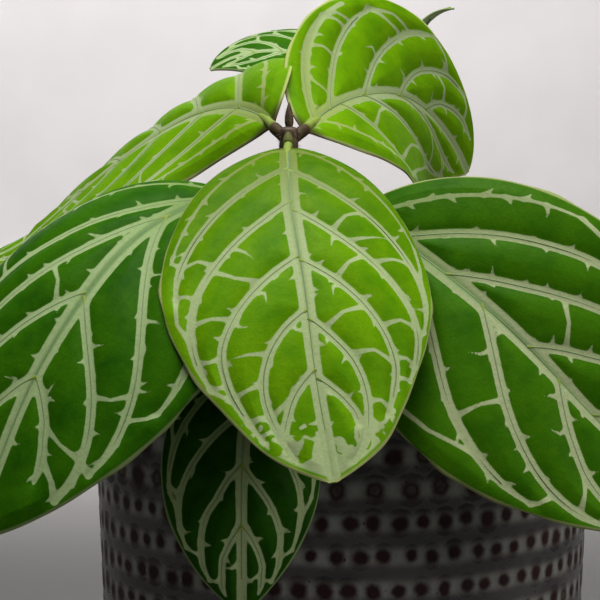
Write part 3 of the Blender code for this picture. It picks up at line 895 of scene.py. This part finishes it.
def side_vein(blade, side, row, rng):
    """The route of one side vein, in flat places (s, q), with small kinks, as where smaller
    veins pull at it. Its root stays."""
    start, bend_along, bend_across, end_along, end_across = [value / 100 for value in row]
    w = np.linspace(0, 1, ROUTE_STEPS)
    s = blade.length * curve_through(w, start, bend_along, end_along)
    q = side * curve_through(w, 0, bend_across, end_across) * blade.reach(s)
    kinks = rng.uniform(-KINK_SIZE, KINK_SIZE, (KINKS, 2))
    kinks[0] = 0
    knots = np.linspace(0, 1, KINKS)
    return np.stack([line + np.interp(w, knots, kinks[:, k]) for k, line in enumerate((s, q))],
                    -1)


def length_of(route):
    return np.hypot(*np.diff(route, axis=0).T).sum()


def place_on(route, share):
    """The place at a share of a route's length."""
    far = np.concatenate([[0], np.cumsum(np.hypot(*np.diff(route, axis=0).T))])
    return np.array([np.interp(share * far[-1], far, route[:, k]) for k in (0, 1)])


def link(one, two, way, rng):
    """A thin vein from one place towards another. It ends in a point where it stops short."""
    goal = one + (two - one) * way
    across = np.array((one[1] - two[1], two[0] - one[0])) * rng.uniform(-LINK_SAG, LINK_SAG)
    middle = (one + goal) / 2 + across
    return np.array([one, middle, goal]), np.array(LINK_HALF if way == 1.0 else HOOK_HALF)


def towards(heading, distance):
    return distance * np.array((np.cos(heading), np.sin(heading)))


def spurs_on(blade, route, rng, wide):
    """Short thorns that leave a vein on both sides."""
    made = []
    far = length_of(route)
    at = rng.uniform(*SPUR_START)
    side = rng.choice((-1, 1))
    while at < far - 1:
        root = place_on(route, at / far)
        ahead = place_on(route, (at + 0.5) / far) - root
        heading = np.arctan2(ahead[1], ahead[0]) + side * np.radians(rng.uniform(*SPUR_TURN))
        length = rng.uniform(*SPUR_LENGTH)
        first = root + towards(heading, wide + SPUR_ROOT * length)
        heading += rng.uniform(-SPUR_KINK, SPUR_KINK)
        last = first + towards(heading, (1 - SPUR_ROOT) * length)
        if abs(last[1]) < blade.reach(last[0]) - SPUR_MARGIN and last[1] * root[1] > 0:
            made.append((np.array([root, first, last]), np.array(SPUR_HALF)))
        at += rng.uniform(*SPUR_SPACING)
        side = -side
    return made


def links_of(name, index, routes, rng):
    """Small veins of one side: those read off the photograph, or else some at random, which
    reach the next vein more often towards the blade's edge."""
    if name in LINKS:
        rows = [(a, at_a / 100, b, at_b / 100, way / 100)
                for a, at_a, b, at_b, way in LINKS[name][index]]
    else:
        rows = []
        outer, inner = LINK_WHOLE_CHANCE
        for number in range(1, len(routes) - 1):
            at = rng.uniform(*LINK_START)
            while at < LINK_LAST:
                whole = rng.random() < (outer if at > LINK_OUTER else inner)
                rows.append((number + 1, at, number, min(at + rng.uniform(*LINK_SLANT), 1.0),
                             1.0 if whole else rng.uniform(*LINK_SHORT)))
                at += rng.uniform(*LINK_STEP)
    return [link(place_on(routes[a], at_a), place_on(routes[b], at_b), way, rng)
            for a, at_a, b, at_b, way in rows]


def vein_plan(name, blade, rng):
    """Main veins and small ones of a leaf. Each is its route and its half-widths."""
    scale = (blade.half / FULL_HALF) ** VEIN_GROWTH
    s = np.linspace(-blade.wing, blade.length * MIDRIB_END, MIDRIB_STEPS)
    midrib = np.stack([s, MIDRIB_SWAY * np.sin(s / MIDRIB_SWAY_LENGTH)], -1)
    main = [(midrib, scale * MIDRIB_HALF * np.interp(s / blade.length, *MIDRIB_TAPER))]
    taper = (np.interp(np.linspace(0, 1, ROUTE_STEPS), *SIDE_VEIN_TAPER)
             * np.linspace(*SIDE_VEIN_HALF, ROUTE_STEPS))
    small = []
    for index, side in enumerate((1, -1)):
        if name in VEINS:
            rows = VEINS[name][index]
        else:
            first, last = ROW_SHIFT
            rows = [(a + rng.uniform(-first, first), b, c, d + rng.uniform(-last, last), e)
                    for a, b, c, d, e in VEINS_PLAIN]
        routes = [side_vein(blade, side, row, rng) for row in rows]
        main.extend((route, scale * taper) for route in routes)
        small.extend(links_of(name, index, [midrib, *routes], rng))
        base = side_vein(blade, side, BASE_VEIN, rng)
        small.append((base, scale * np.linspace(*BASE_VEIN_HALF, ROUTE_STEPS)))
        for one, two in zip([base, *routes], routes):
            goal = place_on(two, ARCH_PLACE)
            middle = (one[-1] + goal) / 2
            middle[1] = side * min(blade.reach(middle[0]) - ARCH_MARGIN,
                                   abs(middle[1]) + ARCH_RISE)
            small.append((np.array([one[-1], middle, goal]), scale * np.array(ARCH_HALF)))
        for route in [base, *routes]:
            small.extend(spurs_on(blade, route, rng, SPUR_WIDE * scale))
        small.extend(spurs_on(blade, midrib + (0, side * SPUR_ASIDE), rng, scale))
    return main, small


def stroke_depth(s, q, strokes):
    """How deep each place lies inside the strokes, in millimetres, and below zero outside."""
    total = np.full(s.shape, np.exp(-FIELD_REACH / FIELD_SOFTNESS))
    for route, half in strokes:
        low = route.min(0) - FIELD_REACH
        high = route.max(0) + FIELD_REACH
        near = np.where((s > low[0]) & (s < high[0]) & (q > low[1]) & (q < high[1]))[0]
        if not len(near):
            continue
        from_s = s[near][:, None] - route[:-1, 0]
        from_q = q[near][:, None] - route[:-1, 1]
        step = np.diff(route, axis=0)
        share = (from_s * step[:, 0] + from_q * step[:, 1]) / np.maximum((step ** 2).sum(1), 1e-9)
        share = np.clip(share, 0, 1)
        away = np.hypot(from_s - share * step[:, 0], from_q - share * step[:, 1])
        depth = (half[:-1] + np.diff(half) * share - away).max(1)
        total[near] += np.exp(np.maximum(depth, -FIELD_REACH) / FIELD_SOFTNESS)
    return FIELD_SOFTNESS * np.log(total)


def grid_faces(number):
    """Four-sided faces of a grid of point numbers, looking up."""
    corners = [number[:-1, :-1], number[:-1, 1:], number[1:, 1:], number[1:, :-1]]
    return np.stack(corners, -1).reshape(-1, 4)


def rim_faces(number, under_number, step):
    """Fans of triangles from the border of the fine upper grid to that of the coarse one."""
    faces = []
    for fine, plain, flip in ((number[:, 0], under_number[:, 0], False),
                              (number[:, -1], under_number[:, -1], True),
                              (number[0], under_number[0], True),
                              (number[-1], under_number[-1], False)):
        for k in range(len(plain) - 1):
            run = fine[k * step:(k + 1) * step + 1]
            fan = [(plain[k], run[i], run[i + 1]) for i in range(step)]
            fan.append((plain[k], run[-1], plain[k + 1]))
            faces.extend([tri[::-1] if flip else tri for tri in fan])
    return [tuple(int(corner) for corner in tri) for tri in faces]


def blade_mesh(blade, main, small, rng):
    """The two faces of a blade and the edge between them, with the values its finish reads.
    The lower face is coarser."""
    spacing = blade.leaf["spacing"] * 1.0
    step = UNDERSIDE_STEP
    rows = int(blade.length / spacing / step) * step + 1
    columns = int(2 * blade.half / spacing / step / 2) * step * 2 + 1
    x = np.linspace(0, 1, rows)
    even, eased = ROW_SPREAD
    along = even * x + eased * (1 - np.cos(np.pi * x)) / 2
    t, u = [grid.ravel() for grid in np.meshgrid(along, np.linspace(1, -1, columns),
                                                 indexing="ij")]
    s = t * (blade.length + blade.wing) - blade.wing
    starts = rng.uniform(0, DRAWN_TURN, 4)
    (fine, fine_length), (broad, broad_length) = EDGE_WAVES
    wavy = (1 + fine * np.sin(s / fine_length + starts[0] + u)
            + broad * np.sin(s / broad_length + starts[1] * u))
    q = u * blade.reach(s) * wavy
    main_depth = stroke_depth(s, q, main)
    depth = FIELD_SOFTNESS * np.log(np.exp(main_depth / FIELD_SOFTNESS)
                                    + np.exp(stroke_depth(s, q, small) / FIELD_SOFTNESS))
    edge = blade.edge_distance(s, q)
    puff = (PUFF * (1 - np.exp(np.minimum(main_depth, 0) / PUFF_SPREAD))
            * np.clip(edge / PUFF_MARGIN, 0, 1))
    sway = (EDGE_SWAY * np.sin(s / EDGE_SWAY_LENGTH + starts[2]) * np.abs(u) ** 3
            * np.clip(t * EDGE_SWAY_ONSET, 0, 1))
    groove = -GROOVE_DEPTH * np.exp(-(q / GROOVE_HALF) ** 2)
    fall = EDGE_FALL * np.clip(1 - edge / EDGE_FALL_WIDTH, 0, 1) ** 2
    upper = UPPER_LIFT + puff + sway + groove - fall
    lower = LOWER_LIFT + puff * LOWER_PUFF + sway
    number = np.arange(rows * columns).reshape(rows, columns)
    coarse = number[::step, ::step]
    under_number = np.arange(coarse.size).reshape(coarse.shape) + number.size
    above = grid_faces(number).tolist()
    below = grid_faces(under_number)[:, (0, 3, 2, 1)].tolist()
    rim = rim_faces(number, under_number, step)
    pick = coarse.ravel()
    points = [blade.point(s, q, upper), blade.point(s[pick], q[pick], lower[pick])]
    values = {name: np.concatenate([row, row[pick]]) for name, row in
              (("vein_depth", depth), ("edge_distance", edge), ("along", t))}
    mesh = new_mesh("blade", np.concatenate(points), above + below + rim, values)
    mesh.polygons.foreach_set("material_index",
                              [0] * len(above) + [1] * len(below) + [0] * len(rim))
    return mesh


def stalk_line(blade):
    """A petiole from the stem to the blade's base, with its thickness. Its swollen foot
    clasps the stem, and its value runs from -1 there to 0. The foot starts at the root, so
    far out from the stem's middle and so far above the leaf's height, and bends at inner.
    A foot that starts outside its stem is slimmer and greener."""
    leaf = blade.leaf
    ahead = towards(np.radians(leaf["heading"]), 1)
    root, inner = [np.array((*(blade.middle + out * ahead), leaf["height"] + rise))
                   for out, rise in (leaf["root"], leaf["inner"])]
    bare = leaf["petiole"] - CLASP_LENGTH
    s = np.linspace(-bare, 0, PETIOLE_STEPS)
    free = blade.point(s, 0 * s, 0 * s)
    steps = len(CLASP_THICKNESS)
    clasp = curve_through(np.linspace(0, 1, steps + 1)[:-1, None], root, inner, free[0])
    fade = np.exp(-np.linspace(0, PETIOLE_FADE, PETIOLE_STEPS))
    petiole = PETIOLE_THICKNESS + PETIOLE_SWELL * fade
    thick = np.concatenate([CLASP_THICKNESS, petiole])
    along = np.concatenate([np.linspace(*CLASP_VALUES, steps), s / bare])
    if leaf["root"][0] > 0:
        along *= OUTER_FOOT_VALUE
        thick *= OUTER_FOOT_THICKNESS
    return np.concatenate([clasp, free]), thick, along


def build_leaf(name, seed, finishes, trees):
    """A leaf: its blade, its petiole with the ribs below, and the lines in its main veins."""
    blade = Blade(name)
    rng = np.random.default_rng(seed)
    main, small = vein_plan(name, blade, rng)
    skin = blade_mesh(blade, main, small, rng)
    first, last = KEEL_PLACES
    s = np.linspace(first, blade.length * last, KEEL_STEPS)
    keel = PETIOLE_THICKNESS - KEEL_TAPER * (s / blade.length) ** KEEL_TAPER_POWER
    sink = -np.clip((s - KEEL_SINK_START) / KEEL_SINK_LENGTH, 0, 1) * keel * KEEL_SINK
    petiole = zip(stalk_line(blade), (blade.point(s, 0 * s, sink), keel, s / blade.length))
    ribs = [[np.concatenate(pair) for pair in petiole]]
    lines = []
    for index, (route, _) in enumerate(main):
        s, q = route[:int(len(route) * LINE_SHARE)].T
        width = np.linspace(*LINE_THICKNESS[min(index, 1)], len(s))
        lift = UPPER_LIFT - GROOVE_DEPTH * np.exp(-(q / GROOVE_HALF) ** 2) - width * LINE_SINK
        lines.append((blade.point(s, q, lift), width, s / blade.length))
        if index:
            ribs.append((blade.point(s, q, LOWER_LIFT + 0 * s),
                         np.linspace(*RIB_THICKNESS, len(s)), s / blade.length))
    stalk, sunken = [grown(strand_mesh(strands), trees["strand"],
                           {"Sides": sides, "Material": finishes[look]})
                     for strands, sides, look in ((ribs, RIB_SIDES, "petiole"),
                                                  (lines, LINE_SIDES, "line"))]
    looks = (blade.leaf["look"], "underside", "petiole", "line")
    add_piece(name, [(skin, None), (stalk, 2), (sunken, 3)],
              [finishes[look] for look in looks])


# Soil
def pot_outer_radius(z):
    return POT_FOOT_RADIUS + (POT_RIM_RADIUS - POT_FOOT_RADIUS) * z / POT_HEIGHT


def soil_top(x, y):
    """Height of the soil: a low heap with lumps that fade towards the pot. The broad lumps
    are those of the part's source, and the fine ones lie on them."""
    r = np.hypot(x, y) / (pot_outer_radius(SOIL_LEVEL) - POT_WALL)
    lumps = np.sin(0.37 * x + 1.3) * np.sin(0.31 * y + 0.4) + 0.6 * np.sin(0.61 * (x + y))
    fine = (0.35 * np.sin(1.9 * x + 0.7 * y) * np.sin(1.6 * y - 0.5 * x)
            + 0.2 * np.sin(3.1 * x + 2.3 * y))
    return SOIL_LEVEL + SOIL_HEAP * (1 - r ** 2) + (SOIL_LUMP * lumps + fine) * (1 - r ** 4)


def build_soil(finishes, trees):
    """The soil with its crumbs, fibres and perlite. It stays a seat clear of the pot."""
    turn = round_turn(SOIL_SIDES)
    low = POT_FLOOR + POT_FOOT_ROUND
    foot = pot_outer_radius(POT_FLOOR) - POT_WALL - POT_FOOT_ROUND - SEAT
    rings = [ring(turn, foot, POT_FLOOR + SEAT),
             ring(turn, pot_outer_radius(low) - POT_WALL - SEAT, low)]
    top = []
    rim = pot_outer_radius(SOIL_LEVEL) - POT_WALL - SEAT
    for r in np.linspace(rim, SOIL_MIDDLE, SOIL_RINGS):
        top.append(ring(turn, r, soil_top(r * np.cos(turn), r * np.sin(turn))))
    parts = [(new_mesh("soil", *ring_skin(rings + top)), 0)]
    bed = new_mesh("bed", *ring_skin(top[1:], closed=False))
    for number, (look, density, size, stretch) in enumerate(CRUMBS):
        crumbs = grown(bed, trees["crumb"], {"Crumbs per square metre": density,
                                             "Size": size * MM, "Seed": CRUMB_SEED + number,
                                             "Stretch": stretch, "Material": finishes[look]})
        parts.append((crumbs, number))
    add_piece("soil", parts, [finishes[row[0]] for row in CRUMBS])


# Pot
def pot_profile():
    """Radius and height up the pot's wall, round its rim and down to the inside floor."""
    rows = [(POT_FOOT_RADIUS - inward, z) for inward, z in POT_FOOT_RING]
    for a in np.linspace(POT_FOOT_START, np.pi / 2, POT_FOOT_STEPS):
        r = pot_outer_radius(POT_FOOT_ROUND) - POT_FOOT_ROUND * (1 - np.sin(a))
        rows.append((r, POT_FOOT_ROUND * (1 - np.cos(a))))
    rim_round = POT_WALL / 2
    rim_z = POT_HEIGHT - rim_round
    low, high = POT_WALL_ENDS
    for z in np.linspace(POT_FOOT_ROUND + low, rim_z - high, POT_WALL_STEPS):
        rows.append((pot_outer_radius(z) + sum(h * np.sin(z * k) for h, k in POT_WAVES), z))
    middle = pot_outer_radius(rim_z) - rim_round
    for a in np.linspace(0, np.pi, POT_RIM_STEPS):
        rows.append((middle + rim_round * np.cos(a), rim_z + rim_round * np.sin(a)))
    for z in np.linspace(rim_z - POT_INSIDE_START, POT_FLOOR + POT_FOOT_ROUND,
                         POT_INSIDE_STEPS):
        rows.append((pot_outer_radius(z) - POT_WALL, z))
    rows.append((pot_outer_radius(POT_FLOOR) - POT_WALL - POT_FOOT_ROUND, POT_FLOOR))
    return rows


def spot_mesh():
    """One spot at unit size: a shallow dish of slip inside a raised ring of glaze, bent round
    the pot's wall."""
    turn = round_turn(SPOT_SIDES)
    rings = [ring(turn, r, z - SPOT_BEND * (r * np.cos(turn)) ** 2) for r, z in SPOT_RINGS]
    points, faces = ring_skin(rings, closed=False)
    faces = [face[::-1] for face in faces] + [list(range(SPOT_SIDES))]
    share = np.repeat([r for r, _ in SPOT_RINGS], SPOT_SIDES)
    return new_mesh("spot", points / MM, faces, {"spot_share": share})


def build_pot(finishes, trees):
    """The pot, its bare foot, and the rows of spots round its wall."""
    rng = np.random.default_rng(POT_SEED)
    turn = round_turn(POT_SIDES)
    skin = new_mesh("pot", *ring_skin([ring(turn, r * uneven(turn, z, POT_UNEVEN), z)
                                       for r, z in pot_profile()]))
    numbers = [1 if face.index < BARE_RINGS * POT_SIDES else 0 for face in skin.polygons]
    # The last face but one closes the foot
    numbers[-2] = 1
    skin.polygons.foreach_set("material_index", numbers)
    lean = np.arctan((POT_RIM_RADIUS - POT_FOOT_RADIUS) / POT_HEIGHT)
    places, turns, sizes, eyes = [], [], [], []
    z, last = SPOT_ROWS
    row = 0
    while z > last:
        ringed = row < RINGED_ROWS
        pitch, radius = ((RINGED_PITCH, RINGED_RADIUS) if ringed else (SPOT_PITCH, SPOT_RADIUS))
        count = int(FULL_TURN * pot_outer_radius(z) / pitch)
        for k in range(count):
            shifted = k + 0.5 * (row % 2) + rng.uniform(-SPOT_WANDER, SPOT_WANDER)
            a = FULL_TURN * shifted / count
            height = z + rng.uniform(-SPOT_DRIFT, SPOT_DRIFT)
            r = pot_outer_radius(height) + SPOT_RISE
            size = radius * rng.uniform(*SPOT_SIZES)
            places.append((r * np.cos(a), r * np.sin(a), height))
            turns.append((np.pi / 2 + lean, 0.0, a + np.pi / 2))
            sizes.append((size * rng.uniform(*SPOT_WIDTHS), size * rng.uniform(*SPOT_HEIGHTS),
                          SPOT_THICKNESS))
            eyed = ringed and rng.random() < EYE_CHANCE[0] or rng.random() < EYE_CHANCE[1]
            eyes.append(1.0 if eyed else 0.0)
        row += 1
        z -= SPOT_ROW_PITCH
    spot = bpy.data.objects.new("spot", spot_mesh())
    points = new_mesh("points", places, [], {"turn": turns, "size": np.array(sizes) * MM,
                                             "eye": eyes})
    spots = grown(points, trees["spot"], {"Spot": spot, "Material": finishes["spot"]})
    bpy.data.objects.remove(spot)
    add_piece("pot", [(skin, None), (spots, 2)],
              [finishes[look] for look in ("glaze", "foot", "spot")])


# Stage, light and camera, in metres
def build_stage():
    """A pale floor that curves up into a plain wall behind the pot."""
    bend = 0.12
    back = 1.15
    front = -1.6
    top = 2.2
    side = 2.2
    line = [(front, 0.0), (back - bend, 0.0)]
    line += [(back - bend + bend * np.sin(a), bend * (1 - np.cos(a)))
             for a in np.linspace(0.1, np.pi / 2, 14)]
    line.append((back, top))
    points = [(x, y, z) for y, z in line for x in (-side, side)]
    faces = [(2 * k, 2 * k + 1, 2 * k + 3, 2 * k + 2) for k in range(len(line) - 1)]
    mesh = bpy.data.meshes.new("floor_and_wall")
    mesh.from_pydata(points, [], faces)
    mesh.shade_smooth()
    mesh.materials.append(stage_finish("797878", "DCDADA"))
    add_object("floor_and_wall", mesh)


def add_light(name, place, aim, size, power, colour):
    """A soft oval lamp at a place that points at aim. Size is (width, height)."""
    data = bpy.data.lights.new(name, "AREA")
    data.shape = "ELLIPSE"
    data.size, data.size_y = size
    data.energy = power
    data.color = hex_colour(colour)[:3]
    lamp = add_object(name, data)
    lamp.location = place
    away = lamp.location - type(lamp.location)(aim)
    lamp.rotation_euler = away.to_track_quat("Z", "Y").to_euler()


def build_light_and_camera():
    """Daylight from above and the right, a lit wall, and the photograph's view."""
    plant = (0.0, -0.03, 0.12)
    wall = (-0.18, 1.15, 0.28)
    add_light("window_above", (-0.03, -0.07, 0.56), plant, (0.34, 0.34), 3.0, "FFFEFA")
    add_light("window_side", (0.6, -0.4, 0.4), plant, (0.4, 0.4), 1.75, "FFFCF8")
    add_light("wall_light", (-0.18, 0.75, 0.6), wall, (1.9, 0.35), 5.9, "FFFCFC")
    world = bpy.data.worlds.new("room")
    world.use_nodes = True
    sky = world.node_tree.nodes["Background"]
    sky.inputs["Color"].default_value = hex_colour("F4F3F2")
    sky.inputs["Strength"].default_value = 0.1
    data = bpy.data.cameras.new("camera")
    data.lens = 105.0
    data.sensor_width = 36.0
    data.clip_start = 0.01
    camera = add_object("camera", data)
    camera.location = (-0.0095, -0.396, 0.144)
    camera.rotation_euler = (np.radians(90 - 3.5), 0.0, 0.0)
    bpy.context.scene.camera = camera
    bpy.context.scene.world = world
    bpy.context.scene.view_settings.view_transform = "Standard"


def main():
    finishes = {look: blade_finish(look, *row) for look, row in LEAF_LOOKS.items()}
    finishes.update({look: plain_finish(*row) for look, row in PLAIN_FINISHES.items()})
    finishes.update({"underside": underside_finish(), "petiole": petiole_finish(),
                     "stem": stem_finish(), "soil": soil_finish(), "glaze": glaze_finish(),
                     "spot": spot_finish()})
    trees = {"strand": strand_tree(), "hair": hair_tree(), "crumb": crumb_tree(),
             "spot": spot_tree()}
    for number, name in enumerate(LEAVES):
        build_leaf(name, LEAF_SEED + number, finishes, trees)
    for number, name in enumerate(SHOOTS):
        build_stem(name, STEM_SEED + number, finishes, trees)
        build_bud(name, BUD_SEED + number, finishes, trees)
    build_soil(finishes, trees)
    build_pot(finishes, trees)
    build_stage()
    build_light_and_camera()


main()
